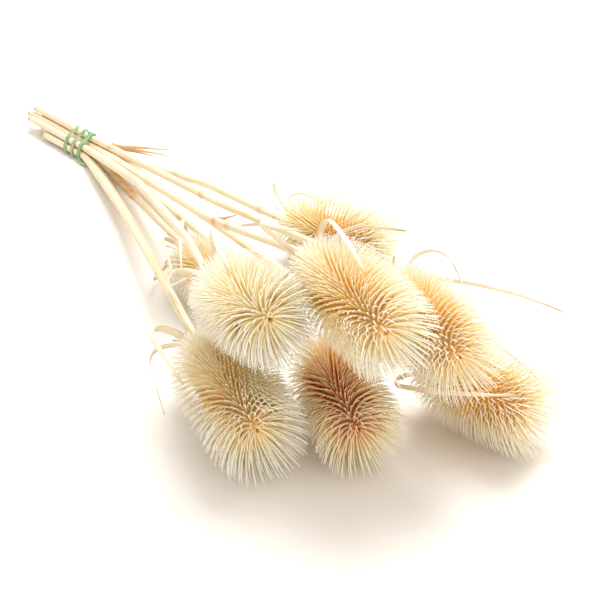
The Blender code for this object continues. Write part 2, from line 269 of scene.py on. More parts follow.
@dataclass
class Form:
    """Points, faces and point values of one piece, in millimetres of the layout."""

    points: list[Points] = field(default_factory=list)
    faces: list[tuple[int, ...]] = field(default_factory=list)
    values: dict[str, list[Points]] = field(default_factory=dict)
    grain: list[Points] = field(default_factory=list)
    count: int = 0

    def add(self, points: Points, grain: Points | None = None, **values: Points) -> np.ndarray:
        """Add points with their values.

        Args:
            points: Rows of three coordinates.
            grain: Rows of coordinates for the finish, or None for the points themselves.
            **values: One number or one row of numbers for each named point value.

        Returns:
            The numbers of the new points.
        """
        points = np.asarray(points, float).reshape(-1, 3)
        first = self.count
        self.points.append(points)
        self.grain.append(points if grain is None else np.asarray(grain, float).reshape(-1, 3))
        for name in ("along", "chance", "mark"):
            value = np.broadcast_to(np.asarray(values.get(name, 0.0), float), (len(points),))
            self.values.setdefault(name, []).append(value)
        self.count += len(points)
        return np.arange(first, self.count)

    def wall(self, ring: np.ndarray, new: np.ndarray) -> None:
        """Quads between two closed rings of points."""
        self.faces.extend(zip(ring, np.roll(ring, -1), np.roll(new, -1), new))

    def point(self, ring: np.ndarray, apex: int) -> None:
        """Triangles from a closed ring to one point."""
        self.faces.extend((a, b, apex) for a, b in zip(ring, np.roll(ring, -1)))

    def tube(self, rings: list[np.ndarray]) -> None:
        """Walls through a list of rings, closed by a flat end on each side.

        Args:
            rings: Numbers of the points of each ring.
        """
        for ring, new in zip(rings, rings[1:]):
            self.wall(ring, new)
        self.faces += [tuple(reversed(rings[0])), tuple(rings[-1])]

    def piece(self, name: str, materials: list[Material], node: str,
              second_from: int | None = None) -> None:
        """Make the object, let it ride on the bunch and tie it to the frame.

        Args:
            name: Name of the piece.
            materials: Its finishes.
            node: The node that the piece stands for.
            second_from: First face with the second finish, or None.
        """
        points = np.concatenate(self.points)
        points[:, 2] = np.maximum(points[:, 2], TABLE_TOUCH)
        mesh = bpy.data.meshes.new(name)
        faces = [tuple(int(i) for i in face) for face in self.faces]
        mesh.from_pydata(((points - MIDDLE) * MM).tolist(), [], faces)
        for key, rows in self.values.items():
            layer = mesh.attributes.new(key, "FLOAT", "POINT")
            layer.data.foreach_set("value", np.concatenate(rows).astype(np.float32))
        layer = mesh.attributes.new("grain", "FLOAT_VECTOR", "POINT")
        layer.data.foreach_set("vector", np.concatenate(self.grain).astype(np.float32).ravel())
        for material in materials:
            mesh.materials.append(material)
        mesh.polygons.foreach_set("use_smooth", [True] * len(mesh.polygons))
        if second_from is not None:
            index = (np.arange(len(mesh.polygons)) >= second_from).astype(np.int32)
            mesh.polygons.foreach_set("material_index", index)
        mesh.update()
        thing = put_in_scene(name, mesh)
        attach(thing, BODY)
        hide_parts(node)
        triangles = sum(len(f) - 2 for f in self.faces)
        LOG.info("%s stands for %s with %d triangles", name, node, triangles)


# Finishes


def linear(colour: Colour) -> tuple[float, float, float, float]:
    """A screen colour from 0 to 255 as linear light, by the sRGB curve."""
    shares = (c / 255.0 for c in colour)
    return (*(c / 12.92 if c <= 0.04045 else ((c + 0.055) / 1.055) ** 2.4 for c in shares), 1.0)


@dataclass(frozen=True)
class Grain:
    """Soft noise in a piece's own grain: how fine it is along and across, and its detail."""

    by: Place
    detail: float = 3.0


class Wiring:
    """Adds and joins the nodes of one finish."""

    specular: float = 0.35

    def __init__(self, name: str) -> None:
        """Start a material with a plain shader.

        Args:
            name: Its name.
        """
        self.material = bpy.data.materials.new(name)
        self.material.use_nodes = True
        self.tree = self.material.node_tree
        self.shader = self.tree.nodes["Principled BSDF"]

    def fill(self, node: bpy.types.Node, inputs: dict[str | int, object]) -> bpy.types.Node:
        """Set a node's inputs to numbers, or join sockets to them.

        Args:
            node: The node.
            inputs: A number or a socket for each named or numbered input.

        Returns:
            The same node.
        """
        for key, value in inputs.items():
            if isinstance(value, Socket):
                self.tree.links.new(value, node.inputs[key])
            else:
                node.inputs[key].default_value = value
        return node

    def node(self, kind: str, inputs: dict[str | int, object], **settings: object) -> bpy.types.Node:
        """Add a node.

        Args:
            kind: The node's type.
            inputs: A number or a socket for each named or numbered input.
            **settings: Its own settings.

        Returns:
            The new node.
        """
        node = self.tree.nodes.new(kind)
        for key, value in settings.items():
            setattr(node, key, value)
        return self.fill(node, inputs)

    def value(self, name: str) -> Socket:
        """The socket of a named point value."""
        return self.node("ShaderNodeAttribute", {}, attribute_name=name).outputs["Fac"]

    def vector(self, name: str) -> Socket:
        """The socket of a named point vector."""
        return self.node("ShaderNodeAttribute", {}, attribute_name=name).outputs["Vector"]

    def math(self, operation: str, a: object, b: object) -> Socket:
        """The result of one sum on two numbers or sockets."""
        return self.node("ShaderNodeMath", {0: a, 1: b}, operation=operation).outputs[0]

    def about(self, x: object, spread: float) -> Socket:
        """A number from 0 to 1 turned into an offset to both sides."""
        return self.math("MULTIPLY", self.math("SUBTRACT", x, 0.5), spread)

    def span(self, x: object, span: Span) -> Socket:
        """The span's first number, plus its second times x."""
        return self.math("ADD", span[0], self.math("MULTIPLY", x, span[1]))

    def both(self, a: object, b: object, shares: Span) -> Socket:
        """The sum of two numbers, each times its share."""
        return self.math("ADD", self.math("MULTIPLY", a, shares[0]), self.math("MULTIPLY", b, shares[1]))

    def noise(self, where: Socket, scale: float, detail: float) -> Socket:
        """Soft noise from 0 to 1."""
        inputs = {"Vector": where, "Scale": scale, "Detail": detail}
        return self.node("ShaderNodeTexNoise", inputs).outputs[0]

    def grained(self, grain: Grain) -> Socket:
        """Soft noise from 0 to 1 in the piece's own grain."""
        where = self.node("ShaderNodeVectorMath", {0: self.vector("grain"), 1: grain.by}, operation="MULTIPLY")
        return self.noise(where.outputs[0], 1.0, grain.detail)

    def ramp(self, factor: Socket, stops: Row, colours: tuple[Colour, ...]) -> Socket:
        """A run of colours picked by a number.

        Args:
            factor: The number that picks.
            stops: Places from 0 to 1.
            colours: The colour at each place.

        Returns:
            The colour's socket.
        """
        node = self.node("ShaderNodeValToRGB", {"Fac": factor})
        elements = node.color_ramp.elements
        while len(elements) < len(stops):
            elements.new(0.5)
        for element, stop, colour in zip(elements, stops, colours):
            element.position = stop
            element.color = linear(colour)
        return node.outputs["Color"]

    def mix(self, factor: object, a: object, b: object, blend: str = "MIX") -> Socket:
        """Two colours mixed.

        Args:
            factor: Share of the second.
            a: First colour.
            b: Second colour.
            blend: How they mix.

        Returns:
            The colour's socket.
        """
        inputs = {"Factor": factor, 6: a, 7: b}
        return self.node("ShaderNodeMix", inputs, data_type="RGBA", blend_type=blend).outputs[2]

    def finish(self, colour: Socket, height: Socket, depth: float,
               roughness: object, sheen: float = 0.0) -> Material:
        """Join colour, relief and roughness to the shader.

        Args:
            colour: The base colour.
            height: The relief from 0 to 1.
            depth: Its depth in metres.
            roughness: A number or a socket.
            sheen: Weight of the soft sheen of fine fibres.

        Returns:
            The finished material.
        """
        bump = self.node("ShaderNodeBump", {"Height": height, "Distance": depth, "Strength": 1.0})
        self.fill(self.shader, {"Normal": bump.outputs[0], "Base Color": colour, "Roughness": roughness,
                                "Sheen Weight": sheen, "Specular IOR Level": self.specular})
        return self.material


@dataclass(frozen=True)
class SpineFinish:
    """Dry straw spines: deep and warm at the root, bleached towards the tip, with painted shade where they are
    pressed against a neighbour.
    """

    tint: Tint
    stops: Row = (0.0, 0.17, 0.4, 0.68)
    fibre: Grain = Grain((1.3, 1.3, 1.3), 4.0)
    mottle: Grain = Grain((0.16, 0.16, 0.16))
    mottled: float = 0.3
    uneven: float = 0.16
    bleach: float = 0.45
    shade: Span = (0.88, 0.22)
    rough: Span = (0.48, 0.18)
    glow: float = 0.55
    glow_depth: float = 0.0012
    glow_reach: Place = (1.0, 0.66, 0.4)
    relief: float = 0.00012
    sheen: float = 0.12

    def make(self, name: str) -> Material:
        """Build the material.

        Args:
            name: Its name.

        Returns:
            The finished material.
        """
        w = Wiring(name)
        # The along value is lowered on spines pressed against a neighbour or the table, which paints shade
        # where the heads touch.
        place = w.math("ADD", w.value("along"), w.about(w.value("chance"), self.uneven))
        place = w.math("ADD", place, w.about(w.grained(self.mottle), self.mottled))
        tint = self.tint
        colour = w.ramp(place, self.stops, (tint.depth, tint.root, tint.shaft, tint.tip))
        colour = w.mix(w.math("MULTIPLY", w.value("mark"), self.bleach), colour, linear(tint.tip))
        fibre = w.grained(self.fibre)
        colour = w.mix(1.0, colour, w.span(fibre, self.shade), "MULTIPLY")
        w.fill(w.shader, {"Subsurface Weight": self.glow, "Subsurface Scale": self.glow_depth,
                          "Subsurface Radius": self.glow_reach})
        return w.finish(colour, fibre, self.relief, w.span(fibre, self.rough), self.sheen)


@dataclass(frozen=True)
class CoreFinish:
    """The woody core between the roots of the spines, pitted and dark."""

    tint: Tint
    dimple: Colour = (112, 54, 20)
    stops: Row = (0.3, 0.7)
    pits: Grain = Grain((1.1, 1.1, 1.1), 5.0)
    relief: float = 0.0006
    roughness: float = 0.8

    def make(self, name: str) -> Material:
        """Build the material.

        Args:
            name: Its name.

        Returns:
            The finished material.
        """
        w = Wiring(name)
        pits = w.grained(self.pits)
        colour = w.ramp(pits, self.stops, (self.tint.depth, self.tint.root))
        colour = w.mix(w.value("mark"), colour, linear(self.dimple))
        return w.finish(colour, pits, self.relief, self.roughness)


@dataclass(frozen=True)
class StemFinish:
    """Bleached stems with long fibres, brown knots and grey cut ends."""

    light: Colour = (250, 244, 228)
    cream: Colour = (240, 224, 194)
    tan: Colour = (226, 198, 154)
    knot: Colour = (208, 152, 84)
    cut: Colour = (132, 106, 78)
    stops: Row = (0.3, 0.5, 0.72)
    fibre: Grain = Grain((0.035, 2.6, 2.6), 5.0)
    patch: Grain = Grain((0.03, 0.5, 0.5), 2.0)
    freckle: Grain = Grain((0.6, 3.0, 3.0), 4.0)
    blotch: Grain = Grain((0.3, 1.2, 1.2))
    shares: Span = (0.6, 0.4)
    freckled: float = 0.25
    blotched: Span = (0.45, 1.1)
    relief: float = 0.0004
    relief_shares: Span = (0.8, 0.3)
    rough: Span = (0.5, 0.2)
    sheen: float = 0.05

    def make(self, name: str) -> Material:
        """Build the material.

        Args:
            name: Its name.

        Returns:
            The finished material.
        """
        w = Wiring(name)
        fibre = w.grained(self.fibre)
        place = w.both(fibre, w.grained(self.patch), self.shares)
        colour = w.ramp(place, self.stops, (self.light, self.cream, self.tan))
        freckle = w.grained(self.freckle)
        colour = w.mix(w.math("MULTIPLY", freckle, self.freckled), colour, linear(self.tan))
        blotch = w.span(w.grained(self.blotch), self.blotched)
        colour = w.mix(w.math("MULTIPLY", w.value("mark"), blotch), colour, linear(self.knot))
        colour = w.mix(w.value("along"), colour, linear(self.cut))
        height = w.both(fibre, freckle, self.relief_shares)
        return w.finish(colour, height, self.relief, w.span(freckle, self.rough), self.sheen)


@dataclass(frozen=True)
class BractFinish:
    """Papery bracts, golden where they spring and almost white further out."""

    spring: Colour = (218, 184, 130)
    middle: Colour = (250, 240, 217)
    tip: Colour = (204, 180, 144)
    stops: Row = (0.0, 0.18, 0.8, 1.0)
    fibre: Grain = Grain((0.06, 3.0, 3.0), 4.0)
    spots: Grain = Grain((0.5, 1.5, 1.5))
    uneven: float = 0.25
    shade: Span = (0.86, 0.26)
    relief: float = 0.00025
    roughness: float = 0.55
    sheen: float = 0.08

    def make(self, name: str) -> Material:
        """Build the material.

        Args:
            name: Its name.

        Returns:
            The finished material.
        """
        w = Wiring(name)
        fibre = w.grained(self.fibre)
        place = w.math("ADD", w.value("along"), w.about(fibre, self.uneven))
        colour = w.ramp(place, self.stops, (self.spring, self.middle, self.middle, self.tip))
        colour = w.mix(1.0, colour, w.span(w.grained(self.spots), self.shade), "MULTIPLY")
        return w.finish(colour, fibre, self.relief, self.roughness, self.sheen)


@dataclass(frozen=True)
class TieFinish:
    """Green dyed raffia with fibres along it, faded where it is thin."""

    faded: Colour = (176, 198, 150)
    green: Colour = (108, 164, 106)
    fresh: Colour = (70, 172, 108)
    stops: Row = (0.32, 0.62)
    fibre: Grain = Grain((0.08, 3.2, 3.2), 4.0)
    patch: Grain = Grain((0.12, 0.3, 0.3), 2.0)
    shares: Span = (0.5, 0.5)
    relief: float = 0.0003
    roughness: float = 0.42
    sheen: float = 0.1

    def make(self, name: str) -> Material:
        """Build the material.

        Args:
            name: Its name.

        Returns:
            The finished material.
        """
        w = Wiring(name)
        fibre = w.grained(self.fibre)
        place = w.both(fibre, w.grained(self.patch), self.shares)
        colour = w.ramp(place, self.stops, (self.faded, self.green))
        colour = w.mix(w.value("mark"), colour, linear(self.fresh))
        return w.finish(colour, fibre, self.relief, self.roughness, self.sheen)


@dataclass(frozen=True)
class TableFinish:
    """A smooth white table top."""

    white: Colour = (238, 236, 233)
    shade: Colour = (235, 233, 230)
    stops: Row = (0.3, 0.7)
    cloud_scale: float = 3.0
    cloud_detail: float = 4.0
    tooth_scale: float = 160.0
    tooth_detail: float = 3.0
    relief: float = 0.00004
    roughness: float = 0.4

    def make(self, name: str) -> Material:
        """Build the material.

        Args:
            name: Its name.

        Returns:
            The finished material.
        """
        w = Wiring(name)
        where = w.node("ShaderNodeTexCoord", {}).outputs["Object"]
        cloud = w.noise(where, self.cloud_scale, self.cloud_detail)
        colour = w.ramp(cloud, self.stops, (self.white, self.shade))
        tooth = w.noise(where, self.tooth_scale, self.tooth_detail)
        return w.finish(colour, tooth, self.relief, self.roughness)


# Seed heads


def middle_line(plan: Plan) -> Points:
    """Points along the middle of a head."""
    steps = np.linspace(0.0, 1.0, NEAREST_STEPS)[:, None]
    return np.array(plan.base, float) + steps * heading_vector(plan.heading, plan.pitch) * plan.length


def nearest(a: Points, b: Points) -> tuple[Points, Points, float]:
    """The nearest two of two rows of points, and the distance between them.

    Args:
        a: First row.
        b: Second row.

    Returns:
        A point of each row and the distance.
    """
    far = np.linalg.norm(a[:, None] - b[None], axis=2)
    i, j = np.unravel_index(far.argmin(), far.shape)
    return a[i], b[j], far[i, j]


@dataclass
class HeadPart:
    """A part that grows round the axis of one head."""

    plan: Plan

    def __post_init__(self) -> None:
        """Set up the directions along and across the head."""
        self.axis = heading_vector(self.plan.heading, self.plan.pitch)
        self.right, self.up = cross_axes(self.axis)
        self.base = np.array(self.plan.base, float)

    def side(self, turn: Points) -> Points:
        """Directions straight out of the axis at turns round it."""
        return spokes(self.right, self.up, turn)


@dataclass
class SeedHead(HeadPart):
    """An egg-shaped core that is set all over with fine curved spines."""

    cells: Row = (2.5, 3.2, 2.5)
    cells_at: Row = (0.0, 0.6, 1.0)
    core_fullness: float = 0.8
    core_from: float = -74.0
    core_to: float = 85.0
    core_rings: int = 40
    core_sides: int = 36
    crown_hollow: float = 2.5
    crown_radius: float = 0.4
    spines_to: float = 84.0
    spiral_steps: int = 600
    along: Row = (0.0, 0.12, 0.35, 0.5, 0.7, 0.88, 0.96, 1.0)
    lean: Row = (-42.0, -24.0, 0.0, 18.0, 33.0, 42.0, 52.0, 72.0)
    growth: Row = (0.62, 0.85, 1.0, 1.05, 1.2, 1.5, 1.6, 0.5)
    uneven: float = 0.05
    lean_uneven: float = 1.5
    side_uneven: float = 1.8
    bend: float = 22.0
    bend_luck: Span = (0.85, 1.15)
    sink: float = 0.7
    shares: Row = (0.0, 0.12, 0.3, 0.54, 0.78, 0.93)
    half_widths: Row = (0.8, 0.56, 0.33, 0.28, 0.23, 0.15)
    half_heights: Row = (0.45, 0.4, 0.29, 0.25, 0.2, 0.13)
    section: tuple[Span, ...] = ((1.0, 0.2), (0.0, 0.8), (-1.0, 0.2), (-0.5, -0.8), (0.5, -0.8))
    stout_luck: Span = (0.85, 1.15)
    stouter: float = 0.2
    stouter_over: Span = (0.6, 0.9)
    crown_over: Span = (0.72, 0.92)
    grain_shift: float = 40.0
    softness: float = 1.2
    press_range: float = 12.0
    press_gap: float = 0.35
    table_bite: float = 0.5
    neighbour_share: float = 1.5
    # Painted shade where spines are pressed against a neighbour or the table: the press in millimetres that
    # gives the full shade, and how far the colour is pulled back then.
    pressed_full: float = 3.0
    pressed_painted_shade: float = 0.5

    def press_planes(self) -> list[tuple[Points, Points, float]]:
        """Planes that hold the spines clear of the neighbours and of the table.

        Returns:
            A point, an outward direction and a gap for each plane.
        """
        planes = [(np.zeros(3), np.array([0.0, 0.0, -1.0]), -self.table_bite)]
        for other in PLANS:
            if other is self.plan:
                continue
            a, b, apart = nearest(middle_line(self.plan), middle_line(other))
            mine = self.plan.radius + self.plan.spine
            whole = mine + other.radius + other.spine
            if apart < whole * self.neighbour_share:
                m = (b - a) / apart
                planes.append((a + m * apart * mine / whole, m, self.press_gap))
        return planes

    def press(self, points: Points, planes: list[tuple[Points, Points, float]]) -> Points:
        """Move points softly back behind each plane.

        Args:
            points: Rows of points.
            planes: The planes from press_planes.

        Returns:
            The moved points.
        """
        for at, out, gap in planes:
            over = (points - at) @ out + gap
            soft = self.softness * np.logaddexp(0.0, over / self.softness)
            soft = np.where(over > -self.press_range, soft, 0.0)
            points = points - soft[..., None] * out
        return points

    def core_points(self, psi: Points, turn: Points) -> Points:
        """Points on the core at angles psi from its waist and turns round its axis.

        Args:
            psi: Angles from the waist.
            turn: Turns round the axis.

        Returns:
            The points.
        """
        radius = self.plan.radius * np.cos(psi) ** self.core_fullness
        far = 0.5 * self.plan.length * (1.0 + np.sin(psi))
        return self.base + self.axis * far[..., None] + self.side(turn) * radius[..., None]

    def spiral(self) -> tuple[Points, Points]:
        """Places of the spines, wound evenly over the core as seeds are.

        Returns:
            The angle from the waist and the turn of each spine.
        """
        fine = np.radians(np.linspace(self.core_from, self.spines_to, self.spiral_steps))
        r = self.plan.radius * np.cos(fine) ** self.core_fullness
        y = 0.5 * self.plan.length * np.sin(fine)
        area = np.hypot(np.diff(r), np.diff(y)) * math.pi * (r[1:] + r[:-1])
        cell = np.interp(0.5 * (1.0 + np.sin(fine[1:])), self.cells_at, self.cells)
        number = np.concatenate([[0.0], np.cumsum(area / cell)])
        count = int(number[-1])
        psi = np.interp(np.arange(count) + 0.5, number, fine)
        return psi, np.arange(count) * GOLDEN_ANGLE

    def leaning(self, turn: Points, lean: Points) -> Points:
        """Directions that lean from straight out towards the crown."""
        return self.side(turn) * np.cos(lean)[:, None] + self.axis * np.sin(lean)[:, None]

    def spines(self, form: Form) -> None:
        """Raise the spines of the whole head.

        Args:
            form: The head's points and faces.
        """
        chance = np.random.default_rng(self.plan.number)
        psi, turn = self.spiral()
        n = len(psi)
        t = 0.5 * (1.0 + np.sin(psi))
        lean = np.radians(np.interp(t, self.along, self.lean) + chance.normal(0, self.lean_uneven, n))
        long = self.plan.spine * np.interp(t, self.along, self.growth)
        long = (long * (1 + chance.uniform(-1, 1, n) * self.uneven))[:, None]
        swing = turn + np.radians(chance.normal(0, self.side_uneven, n))
        start_lean = lean - np.radians(self.bend) * chance.uniform(*self.bend_luck, n)
        root = self.core_points(psi, turn)
        tip = root + self.leaning(swing, lean) * long
        control = root + self.leaning(turn, start_lean) * 0.5 * long
        root = root - self.side(turn) * self.sink
        planes = self.press_planes()
        lines, unshaded = [], []
        for share in (*self.shares, 1.0):
            line = (1 - share) ** 2 * root + 2 * share * (1 - share) * control + share ** 2 * tip
            lines.append(self.press(line, planes))
            # Painted shade: the more a spine is pressed aside, the lower its share. Its colour then stays
            # nearer the darker, warmer root colours and its crown bleach fades, standing in for the shade
            # between touching heads.
            pressed = np.linalg.norm(lines[-1] - line, axis=1) / self.pressed_full
            unshaded.append(1 - self.pressed_painted_shade * np.minimum(pressed, 1.0))
        lines = np.array(lines)
        ways = unit(np.gradient(lines, axis=0))
        around = self.side(turn + 0.5 * math.pi)
        luck = chance.uniform(0, 1, n)
        stout = chance.uniform(*self.stout_luck, n) * (1 + self.stouter * rise(t, self.stouter_over))
        shift = chance.uniform(-self.grain_shift, self.grain_shift, (n, 3))
        rings = []
        for k, line in enumerate(lines[:-1]):
            across = unit(around - ways[k] * (around * ways[k]).sum(1, keepdims=True))
            over = np.cross(ways[k], across)
            w, h = ((half[k] * stout)[:, None] for half in (self.half_widths, self.half_heights))
            rings += [line + across * w * a + over * h * b for a, b in self.section]
        block = np.array(rings + [lines[-1]]).transpose(1, 0, 2)
        each = [len(self.section)] * len(self.shares) + [1]
        unshaded = np.repeat(np.array(unshaded), each, axis=0).T
        # The crown bleach and the place along the spine are both scaled down by this painted shade.
        crown = unshaded * rise(t, self.crown_over)[:, None]
        along = unshaded * np.repeat([*self.shares, 1.0], each)
        numbers = form.add(block, block + shift[:, None], along=along.ravel(),
                           chance=np.repeat(luck, block.shape[1]), mark=crown.ravel())
        for row in numbers.reshape(n, -1):
            spine = row[:-1].reshape(len(self.shares), -1)
            for ring, new in zip(spine, spine[1:]):
                form.wall(ring, new)
            form.point(spine[-1], row[-1])

    def core(self, form: Form) -> None:
        """Build the core as one closed turned body with a hollow crown.

        Args:
            form: The head's points and faces.
        """
        psis = np.radians(np.linspace(self.core_from, self.core_to, self.core_rings))
        turns = circle(self.core_sides)
        rings = [form.add(self.core_points(np.full(len(turns), psi), turns)) for psi in psis]
        tip = self.base + self.axis * (self.plan.length - self.crown_hollow)
        rings.append(form.add(tip + self.side(turns) * self.crown_radius, mark=1.0))
        form.tube(rings)

    def build(self) -> None:
        """Build and dress the head."""
        form = Form()
        self.spines(form)
        core_from = len(form.faces)
        self.core(form)
        number = self.plan.number
        finishes = [SpineFinish(self.plan.tint).make(f"spines_{number}"),
                    CoreFinish(self.plan.tint).make(f"core_{number}")]
        form.piece(f"teasel_head_{number}", finishes, f"head_{number}", core_from)


# Stems


@dataclass(frozen=True)
class Bundle:
    """Where the stems lie side by side at the tie."""

    at: Span = (17.4, 191.0)
    heading: float = 11.0
    half: float = 12.5
    height: float = 4.6
    pitch: float = 5.5
    row_rise: float = 0.87
    stem_radius: float = 2.5

    def spot(self, slot: Span, far: float) -> Points:
        """A place in the bundle, moved along it.

        Args:
            slot: Column and row of the stem.
            far: How far it is moved.

        Returns:
            The place.
        """
        axis = heading_vector(self.heading)
        right, _ = cross_axes(axis)
        at = np.array([*self.at, self.height + slot[1] * self.pitch * self.row_rise])
        return at + axis * far + right * slot[0] * self.pitch


@dataclass
class Stem:
    """A ribbed stem with swollen knots, dried side shoots and a cut end."""

    plan: Plan
    bundle: Bundle
    top_gap: float = 3.1
    top_sunk: float = 1.0
    straight: float = 6.0
    leave: float = 0.1
    land: float = 0.06
    line_steps: int = 40
    radius_at_head: float = 2.0
    fill: float = 40.0
    knot_swell: float = 0.17
    knot_width: float = 2.6
    knot_brown: float = 0.95
    knot_fades: Span = (1.6, 3.0)
    wrap_swell: float = 0.14
    wrap_brown: float = 0.75
    wrap_ends: Span = (3.0, 9.0)
    ring_step: float = 2.6
    sides: int = 20
    ribs: int = 8
    rib_depth: float = 0.035
    wobble: float = 0.03
    wobble_round: float = 9.0
    patchy: Span = (0.8, 0.2)
    grain_reach: float = 2.0
    grain_apart: float = 900.0
    cut_slope: float = 0.9
    cut_turn: float = 0.7
    cut_grey: float = 0.7
    cut_fade: float = 1.2
    pith: tuple[Place, ...] = ((0.8, 0.1, 0.5), (0.6, 0.7, 0.9), (0.5, 3.0, 0.9))
    shoot_sides: int = 8
    shoot_step: float = 2.5
    shoot_least: int = 6
    shoot_from: float = -0.04
    shoot_rise: float = 1.75
    shoot_sunk: float = 0.8
    shoot_taper: float = 0.62
    shoot_foot: Span = (0.5, 14.0)
    shoot_droop: float = 0.05
    shoot_bend: float = 0.3
    shoot_brown: float = 0.8
    shoot_fade: float = 22.0
    prickle: float = 0.7
    prickle_step: float = 6.0
    prickle_sunk: float = 0.96
    prickle_corners: Row = (0.0, 2.1, 4.2)
    prickle_half: Span = (0.4, 0.28)
    prickle_luck: Span = (0.6, 1.1)
    prickle_brown: Span = (0.2, 0.5)
    gap_luck: Span = (0.4, 1.6)
    bare_ends: Span = (50.0, 8.0)

    def path(self) -> Points:
        """The middle line from the cut end to the disc under the head.

        Returns:
            Points in order.
        """
        tie = heading_vector(self.bundle.heading)
        axis = heading_vector(self.plan.heading, self.plan.pitch)
        top = np.array(self.plan.base, float) - axis * self.top_gap
        points = [self.bundle.spot(self.plan.slot, far) for far in (-self.plan.tail, self.bundle.half)]
        ways = [tie, tie]
        for spot in self.plan.via:
            points.append(np.array(spot, float))
            ways.append(unit(top - points[-2]))
        points += [top - axis * self.straight, top]
        ways += [axis, axis]
        out = []
        for a, b, u, v in zip(points, points[1:], ways, ways[1:]):
            far = np.linalg.norm(b - a)
            for t in np.linspace(0.0, 1.0, self.line_steps, endpoint=False):
                out.append((1 - t) ** 3 * a + 3 * t * (1 - t) ** 2 * (a + u * far * self.leave)
                           + 3 * t * t * (1 - t) * (b - v * far * self.land) + t ** 3 * b)
        out += [top, top + axis * self.top_sunk]
        return np.array(out)

    def radius(self, far: Points, whole: float) -> Points:
        """Radius at distances from the cut end.

        Args:
            far: Distances in millimetres.
            whole: Length of the stem.

        Returns:
            The radii, swollen at the knots.
        """
        front = self.plan.tail + self.bundle.half
        r = np.interp(far, (front, front + self.fill, whole),
                      (self.bundle.stem_radius, self.plan.girth, self.radius_at_head))
        knots = [bump_at(far, knot * whole, self.knot_width) for knot in self.plan.knots]
        swell = self.knot_swell * np.minimum(sum(knots, np.zeros_like(far)), 1.0)
        return r * (1 + swell + self.wrap_swell * self.wrapped(far, whole))

    def wrapped(self, far: Points, whole: float) -> Points:
        """How far the dried sheath covers the stem at distances from the cut end, from 0 to 1.

        Args:
            far: The distances.
            whole: Length of the stem.

        Returns:
            The shares.
        """
        if not self.plan.wrap:
            return np.zeros_like(far)
        start, end = (share * whole for share in self.plan.wrap)
        first, last = self.wrap_ends
        return np.clip((far - start) / first, 0, 1) * np.clip((end - far) / last, 0, 1)

    def knot_marks(self, far: Points, whole: float) -> Points:
        """How brown the stem is at distances from the cut end, from 0 to 1.

        Args:
            far: The distances.
            whole: Length of the stem.

        Returns:
            The shares.
        """
        mark = self.wrap_brown * self.wrapped(far, whole)
        below, above = self.knot_fades
        for knot in self.plan.knots:
            past = far - knot * whole
            fade = np.exp(np.where(past < 0, past / below, -past / above))
            mark = np.maximum(mark, self.knot_brown * fade)
        return mark

    def limb(self, form: Form, start: Points, way: Points, shoot: Shoot) -> None:
        """Grow one dried side shoot.

        Args:
            form: The stem's points and faces.
            start: Where it leaves the stem's wall.
            way: Its direction.
            shoot: Its length and radius.
        """
        across, over = cross_axes(way)
        turns = circle(self.shoot_sides)
        bend = Ripple(self.plan.number + SHOOT_SEED)
        foot, foot_fade = self.shoot_foot
        rings = []
        count = max(self.shoot_least, int(shoot.length / self.shoot_step))
        for share in np.linspace(self.shoot_from, 1.0, count):
            run, out = shoot.length * share, max(share, 0.0)
            drop = np.array([0, 0, -self.shoot_droop * run * share])
            middle = start + way * run + drop + over * self.shoot_bend * bend.at(run)
            radius = shoot.radius * (1 - self.shoot_taper * out) * (1 + foot * math.exp(-share * foot_fade))
            brown = self.shoot_brown * math.exp(-out * shoot.length / self.shoot_fade)
            points = middle + spokes(across, over, turns) * radius
            rings.append(form.add(points, round_grain(run, turns), mark=brown))
        form.tube(rings)

    def prickles(self, form: Form, line: Points, ways: Points, far: Points, radii: Points) -> None:
        """Set a few tiny prickles along the ribs, clear of the bundle.

        Args:
            form: The stem's points and faces.
            line: The middle line at each ring.
            ways: Its directions.
            far: Distances from the cut end.
            radii: Radii at each ring.
        """
        chance = random.Random(PRICKLE_SEED + self.plan.number)
        spot = self.plan.tail + self.bundle.half + self.bare_ends[0]
        long, wide = self.prickle_half
        while spot < far[-1] - self.bare_ends[1]:
            k = int(np.searchsorted(far, spot))
            way = ways[k]
            out = spokes(*cross_axes(way), np.array(2 * math.pi * chance.randrange(self.ribs) / self.ribs))
            around = np.cross(way, out)
            foot = line[k] + out * radii[k] * self.prickle_sunk
            numbers = form.add([foot + way * long * math.cos(a) + around * wide * math.sin(a)
                                for a in self.prickle_corners], mark=self.prickle_brown[0])
            tip = foot + out * self.prickle * chance.uniform(*self.prickle_luck) + way * 0.5 * long
            form.point(numbers, form.add(tip, mark=self.prickle_brown[1])[0])
            spot += self.prickle_step * chance.uniform(*self.gap_luck)

